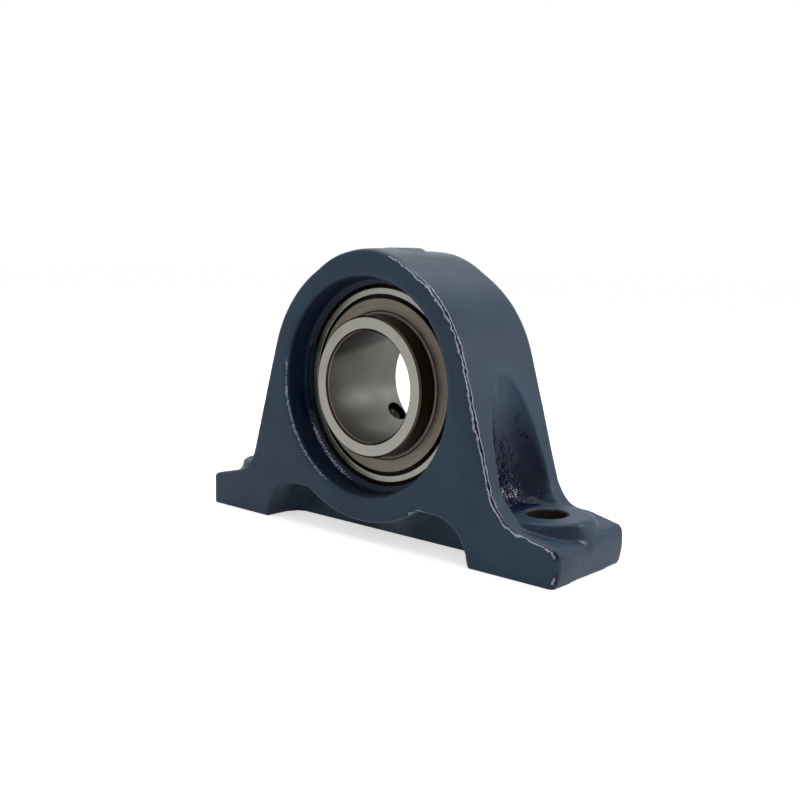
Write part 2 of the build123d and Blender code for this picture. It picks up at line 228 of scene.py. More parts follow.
@dataclass(frozen=True)
class CastingPaint:
    """Satin alkyd enamel sprayed over a sand casting.

    The eye sees a smooth dark slate coat with faint clouds, and a fine pale line over the fettled
    mould flash, which paints the highlight on its ridge where the coat is also thin. Beyond the crown
    the line is doubled, with a narrow strip of painted shade between the two. The coat is glossy and
    rippled where it pooled in the hollows, and a darker navy there is painted shade and dark
    reflection. Painted highlights mark the recess lip, and a painted sheen lightens the crown's top.
    """

    coat: str = "233342"
    cloud: str = "293b4c"
    # darker navy painted into the hollows as their shade and dark reflection
    hollow: str = "07112a"
    # navy painted shade in the narrow groove between the doubled flash lines
    shaded_strip: str = "0c1630"
    # pale colour of the flash lines and rim marks: painted highlight, over a thin coat on the flash
    edge: str = "9599a6"
    # lighter colour painted on the crown's top as a sheen
    crown_sheen: str = "4d5560"
    iron: str = "2a2520"
    cloud_mm: float = 26.0
    grain_mm: float = 1.6
    grain_depth: float = 0.02
    ripple_mm: float = 3.6
    ripple_depth: float = 1.25
    rim_glint_mm: float = 0.7
    front_line_at: float = 0.6
    back_line_at: float = 1.8
    line_width: float = 0.3
    line_height: float = 0.1
    satin: float = 0.42
    gloss: float = 0.15
    specular: float = 0.13

    def build(self, front_y: float) -> bpy.types.Material:
        """Return the enamel, which reads the casting's attributes for its hollows, wet coat, flash, lip, crown and
        bare iron: painted shade in the hollows, painted highlights on the lip and a painted sheen on the crown.

        Args:
            front_y: where the casting's front face lies along the shaft, in millimetres.

        Returns:
            The finished material.
        """
        shader = Shader("casting_enamel")
        place = shader.place()
        hollow, wet, flash, lip, crown, bare = (
            shader.add("ShaderNodeAttribute", attribute_name=name).outputs["Fac"] for name in FIELDS
        )
        shaded_strip, lines = self.flash_marks(shader, place, flash, front_y)
        # painted highlights along the recess lip and its floor edge, broken up by noise
        rim_glints = shader.ramp(shader.math("ADD", shader.noise(place, self.rim_glint_mm), lip), 1.0, 1.14)
        pale = shader.math("MAXIMUM", lines, rim_glints)
        clouds = shader.ramp(shader.noise(place, self.cloud_mm, 4.0), 0.38, 0.62)
        coat = shader.mix(clouds, linear(self.coat), linear(self.cloud))
        # Over the coat: a painted sheen on the crown, painted shade in the hollows and the strip, pale painted
        # highlights on the lines and rims, and the bare iron's own colour.
        layers = (
            (crown, self.crown_sheen),
            (hollow, self.hollow),
            (shaded_strip, self.shaded_strip),
            (pale, self.edge),
            (bare, self.iron),
        )
        for share, colour in layers:
            coat = shader.mix(share, coat, linear(colour))
        ripples = shader.times(shader.noise(place, self.ripple_mm, 2.5), shader.ramp(wet, 0.3, 1.0))
        skin = shader.bump(shader.noise(place, self.grain_mm, 2.0), self.grain_depth)
        skin = shader.bump(ripples, self.ripple_depth, skin)
        skin = shader.bump(pale, self.line_height, skin)
        wetness = shader.math("MAXIMUM", shader.ramp(wet, 0.0, 0.5), shaded_strip)
        rough = shader.ramp(wetness, 0.0, 1.0, self.satin, self.gloss)
        shader.set(Base_Color=coat, Roughness=rough, Normal=skin, Specular_IOR_Level=self.specular)
        return shader.material

    def flash_marks(
        self, shader: Shader, place: Socket, flash: Socket, front_y: float
    ) -> tuple[Socket, Socket]:
        """Return the glossy strip of painted shade and the pale lines, a painted highlight where the coat is thin,
        along the front outline.

        Args:
            shader: the material that they belong to.
            place: object coordinates.
            flash: 1 where the flash is whole, and less where only dots of it are left.
            front_y: where the casting's front face lies along the shaft, in millimetres.

        Returns:
            1 in the shaded strip, and 1 on the lines, with 0 elsewhere.
        """
        x, y, z = shader.add("ShaderNodeSeparateXYZ", {0: place}).outputs
        depth = shader.math("MULTIPLY_ADD", y, 1 / MM, -front_y)
        past_crown = shader.ramp(x, 20 * MM, 34 * MM)
        above_feet = shader.ramp(z, 19 * MM, 25 * MM)
        between = shader.times(shader.ramp(depth, 0.35, 0.7), shader.ramp(depth, 2.1, 1.8))
        # the strip between the doubled lines is painted shade, and glossy
        shaded_strip = shader.times(between, shader.ramp(flash, 0.3, 0.8), past_crown)
        # the pale lines paint the highlight on the flash ridge, where the coat is also thin
        front_line = self.line(shader, place, depth, flash, self.front_line_at, 3.4)
        back_line = self.line(shader, place, depth, flash, self.back_line_at, 2.9)
        back_line = shader.times(back_line, above_feet, past_crown)
        return shaded_strip, shader.math("MAXIMUM", front_line, back_line)

    def line(
        self,
        shader: Shader,
        place: Socket,
        depth: Socket,
        strength: Socket,
        at: float,
        wander_mm: float,
    ) -> Socket:
        """Return a thin ragged line at one depth behind the front face.

        Args:
            shader: the material that it belongs to.
            place: object coordinates.
            depth: depth behind the front face in millimetres.
            strength: 1 where the line is whole, and less where only dots of it are left.
            at: the line's depth in millimetres.
            wander_mm: over what length it wanders to and fro.

        Returns:
            1 on the line and 0 beside it.
        """
        wander = shader.ramp(shader.noise(place, wander_mm, 4.0), 0.2, 0.8, -0.52, 0.52)
        gap = shader.math("ABSOLUTE", shader.math("SUBTRACT", shader.math("ADD", depth, wander), at))
        swell = shader.ramp(shader.noise(place, 1.3, 2.0), 0.3, 0.7, 0.55, 1.3)
        body = shader.ramp(shader.math("DIVIDE", gap, swell), self.line_width, self.line_width * 0.45)
        broken = shader.math("MULTIPLY_ADD", strength, 0.72, shader.noise(place, 2.1, 2.0))
        whole = shader.ramp(broken, 0.98, 1.1)
        return shader.times(body, whole)


class MarkWay(Enum):
    """Which way a turned or ground surface's fine marks run."""

    ROUND = "round the shaft axis"
    NONE = "no marks"


@dataclass(frozen=True)
class Band:
    """A ring-shaped zone of a turned part that has its own colour or a painted shade.

    The patchy share says how broken the colour is: 0 covers the zone, and 1 leaves a few specks. A
    shade_z above 0 keeps the colour, then a painted shade, to the side above that height over the axis,
    in millimetres.
    """

    low_r: float
    high_r: float
    colour: str
    patchy: float = 0.0
    matt: float = 0.0
    shade_z: float = 0.0


@dataclass(frozen=True)
class TurnedSteel:
    """Hardened steel turned or ground round the shaft axis.

    Fine circular marks break the highlight into rings. Bands add rust and oil stain, and painted shade in the
    bore, the gaps and on the shoulder.
    """

    name: str
    light: str
    dark: str
    roughness: float = 0.3
    mark_mm: float = 0.35
    mark_depth_mm: float = 0.004
    bands: tuple[Band, ...] = ()
    band_edge: float = 0.12
    holes: tuple[float, ...] = ()
    hole_y: float = 0.0
    hole_r: float = 4.6
    hole_shade: str = "0b0a09"
    metallic: float = 1.0
    marks: MarkWay = MarkWay.ROUND

    def build(self, centre: Vector) -> bpy.types.Material:
        """Return the steel.

        Args:
            centre: the bearing centre, which the marks run round, in metres.

        Returns:
            The finished material.
        """
        shader = Shader(self.name)
        from_centre = {"Vector": shader.place(), "Location": tuple(-centre)}
        place = shader.add("ShaderNodeMapping", from_centre).outputs[0]
        x, y, z = shader.add("ShaderNodeSeparateXYZ", {0: place}).outputs
        radius = shader.vector("LENGTH", shader.add("ShaderNodeCombineXYZ", {0: x, 2: z}).outputs[0])
        along = shader.times(shader.math("ARCTAN2", z, x), 2 * MM)
        rings = shader.add("ShaderNodeCombineXYZ", {0: radius, 1: y, 2: along}).outputs[0]
        fine = shader.noise(rings, self.mark_mm, 4.0)
        blotch = shader.noise(place, 9.0)
        tone = shader.ramp(shader.math("ADD", fine, blotch), 0.7, 1.3)
        colour = shader.mix(tone, linear(self.dark), linear(self.light))
        patch = shader.noise(place, 4.0, 4.0)
        rough = shader.ramp(blotch, 0.3, 0.7, self.roughness * 0.85, self.roughness * 1.2)
        for band in self.bands:
            zone = shader.times(
                shader.ramp(radius, band.high_r * MM, (band.high_r - self.band_edge) * MM),
                shader.ramp(radius, band.low_r * MM, (band.low_r + self.band_edge) * MM),
                shader.ramp(patch, 0.7 * band.patchy - 0.15, 0.7 * band.patchy),
            )
            # painted shade kept to the side above shade_z
            if band.shade_z:
                slant = shader.math("MULTIPLY_ADD", y, -0.25, z)
                zone = shader.times(zone, shader.ramp(slant, band.shade_z * MM, (band.shade_z + 4) * MM))
            colour = shader.mix(zone, colour, linear(band.colour))
            rough = shader.math("MULTIPLY_ADD", zone, band.matt, rough)
        # the tapped holes are blackened as painted shade
        for angle in self.holes:
            colour = shader.mix(self.hole(shader, place, angle), colour, linear(self.hole_shade))
        shader.set(Base_Color=colour, Metallic=self.metallic, Roughness=rough)
        if self.marks is MarkWay.ROUND:
            shader.set(Normal=shader.bump(fine, self.mark_depth_mm))
        return shader.material

    def hole(self, shader: Shader, place: Socket, angle: float) -> Socket:
        """Return 1 in and round a tapped hole, which is blackened there as painted shade.

        A point's distance from the hole's axis is the length of its cross product with the axis.

        Args:
            shader: the material that it belongs to.
            place: coordinates from the bearing centre.
            angle: which way the hole points round the shaft, in degrees.

        Returns:
            1 in the hole and 0 elsewhere.
        """
        lean = math.radians(angle)
        axis = (math.cos(lean), 0.0, math.sin(lean))
        away = shader.vector("SUBTRACT", place, (0.0, self.hole_y * MM, 0.0))
        gap = shader.vector("LENGTH", shader.vector("CROSS_PRODUCT", away, axis))
        out = shader.vector("DOT_PRODUCT", place, axis)
        near = shader.ramp(gap, self.hole_r * MM, (self.hole_r - 0.15) * MM)
        return shader.times(near, shader.ramp(out, 0.0, 10 * MM))


@dataclass(frozen=True)
class NitrileRubber:
    """Moulded black nitrile rubber, dull, with a faint bloom of grease."""

    colour: str = "0f0f10"
    bloom: str = "1d1c1b"

    def build(self) -> bpy.types.Material:
        """Return the rubber.

        Returns:
            The finished material.
        """
        shader = Shader("nitrile_rubber")
        place = shader.place()
        bloom = shader.ramp(shader.noise(place, 7.0), 0.4, 0.7)
        colour = shader.mix(bloom, linear(self.colour), linear(self.bloom))
        grain = shader.noise(place, 0.5)
        shader.set(Base_Color=colour, Roughness=0.62, Normal=shader.bump(grain, 0.01))
        return shader.material


# ------------------------------------------------------------------ mesh tools
def grid_quads(rows: int, columns: int, wrap_rows: bool, wrap_columns: bool) -> np.ndarray:
    """Return the quads of a grid of points numbered row by row.

    Args:
        rows: points along the first direction.
        columns: points along the second direction.
        wrap_rows: whether the last row joins the first.
        wrap_columns: whether the last column joins the first.

    Returns:
        An array of four point numbers a quad.
    """
    row = np.arange(rows if wrap_rows else rows - 1)
    column = np.arange(columns if wrap_columns else columns - 1)
    i, j = (axis.ravel() for axis in np.meshgrid(row, column, indexing="ij"))
    after_i, after_j = (i + 1) % rows, (j + 1) % columns
    corners = (i * columns + j, i * columns + after_j, after_i * columns + after_j, after_i * columns + j)
    return np.stack(corners, axis=1)


def outward(points: np.ndarray, quads: np.ndarray) -> np.ndarray:
    """Return the quads turned so that a closed surface holds a positive volume.

    The volume is the sum over faces of a . (b x c) / 6 for the two triangles of each quad.

    Args:
        points: places, one row a point.
        quads: four point numbers a row.

    Returns:
        The same quads, or the same quads turned over.
    """
    a, b, c, d = (points[quads[:, k]] for k in range(4))
    volume = np.sum(a * np.cross(b, c)) + np.sum(a * np.cross(c, d))
    return quads if volume > 0 else quads[:, ::-1]


def new_piece(name: str, points: np.ndarray, quads: np.ndarray) -> bpy.types.Object:
    """Put a closed surface into a smooth-shaded mesh object.

    Args:
        name: the piece's name.
        points: places in metres, one row a point.
        quads: four point numbers a row.

    Returns:
        The linked object, at the origin.
    """
    mesh = bpy.data.meshes.new(name)
    mesh.from_pydata(points, [], outward(points, quads))
    mesh.shade_smooth()
    piece = bpy.data.objects.new(name, mesh)
    bpy.context.scene.collection.objects.link(piece)
    return piece


def rounded(corners: np.ndarray, radii: np.ndarray, steps: int = 6, support: float = 0.12) -> np.ndarray:
    """Round the corners of a closed outline.

    At each corner the arc touches both runs at radius / tan(half the corner's angle) from it, and
    its points turn evenly from one touching point to the other. A support point lies a little
    beyond each end of the arc, so that the flats beside it shade flat.

    Args:
        corners: the outline's corners, one row each.
        radii: the radius at each corner.
        steps: points on each arc.
        support: distance of the support points from the arc.

    Returns:
        The rounded outline's points.
    """
    before = np.roll(corners, 1, axis=0) - corners
    after = np.roll(corners, -1, axis=0) - corners
    run_before = np.linalg.norm(before, axis=1, keepdims=True)
    run_after = np.linalg.norm(after, axis=1, keepdims=True)
    before, after = before / run_before, after / run_after
    half = np.arccos(np.clip(np.sum(before * after, axis=1, keepdims=True), -0.9999, 0.9999)) / 2
    reach = radii[:, None] / np.tan(half)
    middle = before + after
    centre = corners + middle / np.linalg.norm(middle, axis=1, keepdims=True) * radii[:, None] / np.sin(half)
    start, end = corners + before * reach, corners + after * reach
    swing = np.pi - 2 * half[:, :, None]
    share = np.linspace(0, 1, steps)[None, :, None]
    from_start = np.sin((1 - share) * swing) * (start - centre)[:, None]
    from_end = np.sin(share * swing) * (end - centre)[:, None]
    arc = centre[:, None] + (from_start + from_end) / np.sin(swing)
    lead = (start + before * support)[:, None]
    tail = (end + after * support)[:, None]
    return np.concatenate((lead, arc, tail), axis=1).reshape(-1, 2)


def turned(name: str, outline: np.ndarray, centre: Vector, segments: int = 240) -> bpy.types.Object:
    """Turn a closed outline round the shaft axis.

    A point (along, out) of the outline becomes the circle x = out cos a, y = along, z = out sin a.

    Args:
        name: the piece's name.
        outline: rows of the distance along the shaft and the radius, in millimetres.
        centre: the bearing centre in metres.
        segments: points round the axis.

    Returns:
        The turned piece.
    """
    angle = np.linspace(0, 2 * np.pi, segments, endpoint=False)[None, :]
    along, out = outline[:, :1] * MM, outline[:, 1:] * MM
    points = np.stack((out * np.cos(angle), along + 0 * angle, out * np.sin(angle)), axis=2)
    points = points.reshape(-1, 3) + np.array(centre)
    return new_piece(name, points, grid_quads(len(outline), segments, True, True))


def cut(piece: bpy.types.Object, tool: bpy.types.Object) -> None:
    """Take a closed tool out of a piece for good, and delete the tool.

    Args:
        piece: the piece to cut.
        tool: the closed shape to take out.
    """
    modifier = piece.modifiers.new("cut", "BOOLEAN")
    modifier.object = tool
    modifier.operation = "DIFFERENCE"
    modifier.solver = "EXACT"
    apply_modifiers(piece)
    bpy.data.objects.remove(tool)


def apply_modifiers(piece: bpy.types.Object) -> None:
    """Replace a piece's mesh by what its modifiers make of it.

    Args:
        piece: the piece, changed in place.
    """
    bpy.context.view_layer.update()
    depsgraph = bpy.context.evaluated_depsgraph_get()
    mesh = bpy.data.meshes.new_from_object(piece.evaluated_get(depsgraph))
    piece.modifiers.clear()
    piece.data = mesh


def close_ends(piece: bpy.types.Object) -> None:
    """Fill the open ends of a tube and turn its faces outwards.

    Args:
        piece: the tube, changed in place.
    """
    grid = bmesh.new()
    grid.from_mesh(piece.data)
    bmesh.ops.holes_fill(grid, edges=grid.edges)
    bmesh.ops.recalc_face_normals(grid, faces=grid.faces)
    grid.to_mesh(piece.data)
    grid.free()


def pull(points: np.ndarray, pairs: np.ndarray, degree: np.ndarray) -> np.ndarray:
    """Return the way from each point to the mean of its neighbours.

    Args:
        points: places, one row a point.
        pairs: the two point numbers of each edge.
        degree: how many edges meet at each point, as a column.

    Returns:
        One vector a point.
    """
    total = np.zeros_like(points)
    np.add.at(total, pairs[:, 0], points[pairs[:, 1]])
    np.add.at(total, pairs[:, 1], points[pairs[:, 0]])
    return total / degree - points


def lattice_noise(points: np.ndarray, grain: float, seed: int) -> np.ndarray:
    """Smooth noise from -1 to 1 on a cubic lattice of random values.

    Each point blends the eight values round it with the weights 3t^2 - 2t^3 along each axis.

    Args:
        points: places, in the unit of grain.
        grain: the lattice's pitch.
        seed: which noise.

    Returns:
        One value a point.
    """
    size = 64
    values = np.random.default_rng(seed).uniform(-1, 1, (size, size, size))
    scaled = points / grain
    cell = np.floor(scaled).astype(int)
    share = scaled - cell
    share = share * share * (3 - 2 * share)
    total = np.zeros(len(points))
    for corner in np.ndindex(2, 2, 2):
        weight = np.prod(np.where(corner, share, 1 - share), axis=1)
        index = (cell + corner) % size
        total += weight * values[index[:, 0], index[:, 1], index[:, 2]]
    return total


def smoothstep(value: np.ndarray, low: float, high: float) -> np.ndarray:
    """Rise from 0 at low to 1 at high along 3t^2 - 2t^3; low may be the larger of the two."""
    t = np.clip((value - low) / (high - low), 0, 1)
    return t * t * (3 - 2 * t)


# ------------------------------------------------------------------ the unit's shared sizes
@dataclass
class UnitSizes:
    """Sizes that the unit's sub-assemblies share, in millimetres and degrees.

    The centre is in metres. It, the bore and the bolts are read from the frame.
    """

    shoulder_r: float = 28.6
    screw_angles: tuple[float, float] = (222.0, 342.0)
    screw_y: float = 16.45
    centre: Vector = field(init=False)
    centre_z: float = field(init=False)
    bore_r: float = field(init=False)
    bolt_x: float = field(init=False)
    bolt_r: float = field(init=False)

    def __post_init__(self) -> None:
        """Read the mounts and the spin joint."""
        mounts = {mount["name"]: mount for mount in frame["record"]["mounts"]}
        spin = next(joint for joint in frame["joints"] if joint["name"] == "shaft_spin")
        self.centre = Vector(spin["pos_m"])
        self.centre_z = self.centre.z / MM
        self.bore_r = mounts["shaft_bore"]["dims"]["r_mm"]
        self.bolt_x = mounts["foot_bolts"]["dims"]["spacing_x_mm"] / 2
        self.bolt_r = mounts["foot_bolts"]["dims"]["hole_r_mm"]

    def span(self, node: str) -> tuple[float, float]:
        """Return how far a node reaches along the shaft, from front to back."""
        low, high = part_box(node)
        return low.y / MM, high.y / MM

    def radius(self, node: str) -> float:
        """Return the outer radius of a turned node."""
        low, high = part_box(node)
        return (high.x - low.x) / 2 / MM

    def beside_screw(self, angle: float, along: np.ndarray, side: np.ndarray, out: np.ndarray) -> np.ndarray:
        """Put points given beside a set screw's axis into the frame.

        Args:
            angle: which way the screw points round the shaft, in degrees.
            along: distances from the screw's axis along the shaft.
            side: distances from the screw's axis round the shaft.
            out: distances from the shaft's axis along the screw.

        Returns:
            One place a row, in metres.
        """
        along, side, out = np.broadcast_arrays(along, side, out)
        lean = math.radians(angle)
        x = out * math.cos(lean) - side * math.sin(lean)
        z = out * math.sin(lean) + side * math.cos(lean)
        points = np.stack((x, along + self.screw_y, z), axis=-1).reshape(-1, 3)
        return points * MM + np.array(self.centre)


# ------------------------------------------------------------------ housing
@dataclass
class Casting:
    """The cast housing: its CAD form, recast with soft edges, waves and a shifted mould joint."""

    sizes: UnitSizes
    voxel: float = 0.84
    smooth_passes: int = 5
    wave: float = 0.13
    wave_grain: float = 19.0
    lump: float = 0.035
    lump_grain: float = 3.5
    seat_r: float = 42.55
    seat_gap: float = 0.2
    seat_half: float = 13.3
    recess_r: float = 43.8
    arch_r: float = 53.1
    barrel_r: float = 54.35
    lean: float = 16.6
    flash_reach: float = 2.4
    sharp_angle: float = 0.3
    boss_r: float = 9.3
    boss_lift: float = 0.9
    crown_lift: float = 0.95
    front_zone: float = 4.0
    far: float = 9.0
    foot_lift: float = 2.6
    lip_angle: float = 206.0
    floor_angle: float = 228.0
    pocket_half: float = 17.5
    pad_top: float = 20.0
    pad_r: float = 17.0
    soft_passes: int = 14
    pools: tuple[tuple[float, float, float], ...] = ((-5, 36, 17), (5, 26, 12), (13, 51, 8))
    front_y: float = field(init=False)
    back_y: float = field(init=False)
    piece: bpy.types.Object = field(init=False)

    def __post_init__(self) -> None:
        """Read where the housing's front and back faces lie along the shaft."""
        self.front_y, self.back_y = self.sizes.span("housing")

    def build(self) -> None:
        """Make the casting and dress it."""
        self.recast()
        self.dress(CastingPaint().build(self.front_y))
        LOG.info("housing: %d quads", len(self.piece.data.polygons))

    def recast(self) -> None:
        """Copy the housing, close its seams, and give it an even skin of small quads."""
        mesh = frame["nodes"]["housing"].data.copy()
        grid = bmesh.new()
        grid.from_mesh(mesh)
        bmesh.ops.remove_doubles(grid, verts=grid.verts, dist=0.001 * MM)
        front = self.front_edges(grid)
        grid.to_mesh(mesh)
        grid.free()
        mesh.materials.clear()
        self.piece = bpy.data.objects.new("housing_casting", mesh)
        bpy.context.scene.collection.objects.link(self.piece)
        remesh = self.piece.modifiers.new("skin", "REMESH")
        remesh.mode = "VOXEL"
        remesh.voxel_size = self.voxel * MM
        apply_modifiers(self.piece)
        self.piece.data.shade_smooth()
        self.shape(front)

    def front_edges(self, grid: bmesh.types.BMesh) -> np.ndarray:
        """Return the sharp edges of the outline at the housing's front.

        Args:
            grid: the housing's CAD form.

        Returns:
            The two ends of each edge, in millimetres.
        """
        near = (self.front_y + self.flash_reach) * MM
        sharp = [
            edge
            for edge in grid.edges
            if len(edge.link_faces) == 2
            and edge.calc_face_angle() > self.sharp_angle
            and max(vert.co.y for vert in edge.verts) < near
        ]
        ends = np.array([[vert.co for vert in edge.verts] for edge in sharp]) / MM
        middle = ends.mean(axis=1)
        edge_r = np.hypot(middle[:, 0], middle[:, 2] - self.sizes.centre_z)
        under = (middle[:, 2] < 16) & (np.abs(middle[:, 0]) < self.sizes.bolt_x - self.pad_r)
        return ends[(edge_r > self.recess_r + 3) & ~under & (middle[:, 2] > 0.5)]

    def from_bolt(self, x: np.ndarray, y: np.ndarray) -> np.ndarray:
        """Return how far points lie from the axis of the nearer bolt."""
        return np.hypot(np.abs(x) - self.sizes.bolt_x, y)

    def shape(self, front: np.ndarray) -> None:
        """Soften, wave and mark the skin.

        Each pass moves the points half way towards the mean of their neighbours and then a little
        more than half way back out, which rounds the edges and keeps the outline's size. The cast
        faces are moved along their normals by two scales of noise, and the turned seat and the
        bolt holes keep their radius.

        Args:
            front: the ends of the sharp edges of the front outline.
        """
        mesh = self.piece.data
        count = len(mesh.vertices)
        points = np.empty(count * 3)
        mesh.vertices.foreach_get("co", points)
        points = points.reshape(-1, 3) / MM
        pairs = np.empty(len(mesh.edges) * 2, int)
        mesh.edges.foreach_get("vertices", pairs)
        pairs = pairs.reshape(-1, 2)
        degree = np.bincount(pairs.ravel(), minlength=count)[:, None]
        points[:, 2] += self.swell(*points.T)
        for step in (0.5, -0.52) * self.smooth_passes:
            points += step * pull(points, pairs, degree)
        soft = self.soft(*points.T)[:, None]
        for _ in range(self.soft_passes):
            points += 0.5 * soft * pull(points, pairs, degree)
        normals = np.empty(count * 3)
        mesh.vertices.foreach_get("normal", normals)
        normals = normals.reshape(-1, 3)

        centre = np.array(self.sizes.centre) / MM
        local = points - centre
        from_centre = np.linalg.norm(local, axis=1)
        seat = (from_centre < self.recess_r - 0.6) & (np.abs(local[:, 1]) < self.seat_half)
        hole = self.from_bolt(points[:, 0], points[:, 1]) < self.sizes.bolt_r + 0.5
        cast = ~(seat | hole | (points[:, 2] < 1.0))
        waves = self.wave * lattice_noise(points, self.wave_grain, 11)
        waves += self.lump * lattice_noise(points, self.lump_grain, 12)
        points += normals * (waves * cast)[:, None]

        wanted = self.seat_r + self.seat_gap
        in_seat = (from_centre < wanted) & (np.abs(local[:, 1]) < self.seat_half)
        points = np.where(in_seat[:, None], centre + local / from_centre[:, None] * wanted, points)
        in_hole = self.from_bolt(points[:, 0], points[:, 1]) < self.sizes.bolt_r + 0.4
        axis = np.stack((np.sign(points[:, 0]) * self.sizes.bolt_x, 0 * points[:, 0]), axis=1)
        from_axis = points[:, :2] - axis
        true_r = axis + from_axis / np.linalg.norm(from_axis, axis=1, keepdims=True) * self.sizes.bolt_r
        points[:, :2] = np.where(in_hole[:, None], true_r, points[:, :2])
        low, high = (np.array(corner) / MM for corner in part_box("housing"))
        points = np.clip(points, low, high)
        mesh.vertices.foreach_set("co", (points * MM).ravel())
        mesh.update()
        self.mark(points, front, (seat & (np.abs(local[:, 1]) < self.seat_half - 0.9)) | hole)

    def soft(self, x: np.ndarray, y: np.ndarray, z: np.ndarray) -> np.ndarray:
        """Return how well the sand mould's edges are rounded.

        The rims of the recess and the boss are the roundest, and the barrel's edges under the
        bearing are a little rounded.

        Args:
            x: places along the base, in millimetres.
            y: places along the shaft.
            z: heights.

        Returns:
            0 where an edge stays as it is, up to 1 where it is rounded most.
        """
        rise = z - self.sizes.centre_z
        rim = np.hypot(np.hypot(x, rise) - self.recess_r - 0.5, y - self.front_y - 0.5)
        boss = np.abs(np.hypot(x, y) - 10) + 10 * (rise < self.arch_r)
        keel = np.hypot(np.hypot(x, rise) - self.barrel_r, np.abs(y) - self.back_y)
        keel_share = 0.4 * smoothstep(keel, 2.4, 1.2) * (z < 22) * (np.abs(x) < 46)
        return np.maximum(np.maximum(smoothstep(rim, 3.6, 1.6), smoothstep(boss, 5, 2)), keel_share)

    def swell(self, x: np.ndarray, y: np.ndarray, z: np.ndarray) -> np.ndarray:
        """Return how far the founder's slack joint lifts each point.

        The metal round the crown's boss slopes up to it, and the rear of the crown and of both feet
        stands higher than the front, each along 3t^2 - 2t^3.

        Args:
            x: places along the base, in millimetres.
            y: places along the shaft.
            z: heights.

        Returns:
            Lifts in millimetres.
        """
        off_boss = np.hypot(x, y) > self.boss_r
        apron = smoothstep(np.hypot(x, 0.75 * (y + 1.5)), 18, 8) * off_boss * (z > self.arch_r + 60)
        outside = np.hypot(x, z - self.sizes.centre_z) > self.arch_r - 4
        crown = smoothstep(y, -4, 15) * smoothstep(np.abs(x), 36, 0) * outside * off_boss * (z > 90)
        feet = smoothstep(y, -6, 12) * smoothstep(np.abs(x), 68, 80) * smoothstep(z, 8, 13)
        beside_pad = smoothstep(self.from_bolt(x, y), self.pad_r, self.pad_r + 1.5)
        top = np.maximum(self.boss_lift * apron, self.crown_lift * crown)
        return top + self.foot_lift * feet * beside_pad

    def mark(self, points: np.ndarray, front: np.ndarray, bare: np.ndarray) -> None:
        """Write where the hollows' painted shade, the wet coat, the flash, the lip's painted highlights, the
        crown's painted sheen and the bare iron are.

        Args:
            points: the skin's points in millimetres.
            front: the ends of the sharp edges of the front outline.
            bare: which points lie on machined iron.
        """
        x, y, z = points.T
        rise = z - self.sizes.centre_z
        local_r = np.hypot(x, rise)
        side = np.degrees(np.arctan2(rise, x)) % 360
        in_end = (np.abs(x) > 40) & (np.abs(y) < self.pocket_half) & (z > self.pad_top - 1)
        pocket = smoothstep(self.outline_depth(points), 0.8, 4.0) * in_end
        recess = smoothstep(local_r, self.recess_r + 0.9, self.recess_r - 0.2) * (y < -12)
        # the painted shade in the pocket deepens towards its bottom
        low = smoothstep(z, 61, 39)
        pools = [
            smoothstep(np.hypot(y - at_y, z - at_z), reach, 0.5 * reach) for at_y, at_z, reach in self.pools
        ]
        skirt = np.abs(self.from_bolt(x, y) - self.pad_r - 1.2)
        apron = smoothstep(skirt, 3.2, 1.6) * smoothstep(z, self.pad_top - 0.4, self.pad_top - 1.2) * (z > 10)
        apron *= smoothstep(y, 3, -6)
        strength = np.where(x > 0, smoothstep(x, 1, 18), 0.35 * smoothstep(x, -30, -46))
        strength *= 1 - 0.2 * smoothstep(np.abs(x), 87, 91)
        # painted highlights on the lower left of the recess lip and of its floor edge
        lip_gap = np.hypot(local_r - self.recess_r - 0.5, y - self.front_y - 0.3)
        lip = smoothstep(lip_gap, 1.3, 0.5) * smoothstep(np.abs(side - self.lip_angle), 50, 32)
        floor_gap = np.hypot(local_r - self.recess_r + 0.8, y + self.seat_half)
        floor = smoothstep(floor_gap, 1.5, 0.6) * smoothstep(np.abs(side - self.floor_angle), 36, 14)
        # a painted sheen on the crown's top
        crown_highlight = smoothstep(self.arch_r - local_r, -0.3, -1.2) * smoothstep(np.abs(x - 3), 12, 6)
        fields = {
            # painted shade and dark reflection in the pocket, the recess and the skirt below the pads
            "hollow": np.clip(pocket * low + 0.8 * recess + 0.55 * apron, 0, 1),
            "wet": np.clip(pocket * np.max(pools, axis=0) + 0.3 * apron + 0.12 * recess, 0, 1),
            # where the flash line's painted highlight is whole, dotted or gone
            "flash": strength * smoothstep(self.edge_gap(points, front), 2.6, 1.7) * (z > 1.5),
            "lip": 0.62 * np.maximum(lip, floor),
            "crown": crown_highlight * (y > -19),
            "bare": bare.astype(float),
        }
        for name in FIELDS:
            self.piece.data.attributes.new(name, "FLOAT", "POINT").data.foreach_set("value", fields[name])

    def edge_gap(self, points: np.ndarray, front: np.ndarray) -> np.ndarray:
        """Return how far points near the front lie from the front outline's sharp edges.

        The distance to an edge is the length from the point to its foot on the edge, which is held
        between the edge's two ends.

        Args:
            points: the skin's points in millimetres.
            front: the ends of the edges.

        Returns:
            Distances in millimetres, and the far value for points behind the front zone.
        """
        gap = np.full(len(points), self.far)
        near = np.flatnonzero(points[:, 1] < self.front_y + self.front_zone)
        start, run = front[:, 0], front[:, 1] - front[:, 0]
        for chunk in np.array_split(near, max(1, len(near) // 1500)):
            away = points[chunk, None] - start[None]
            share = np.clip(np.sum(away * run, axis=2) / np.sum(run * run, axis=1), 0, 1)
            gap[chunk] = np.min(np.linalg.norm(away - share[:, :, None] * run, axis=2), axis=1)
        return gap

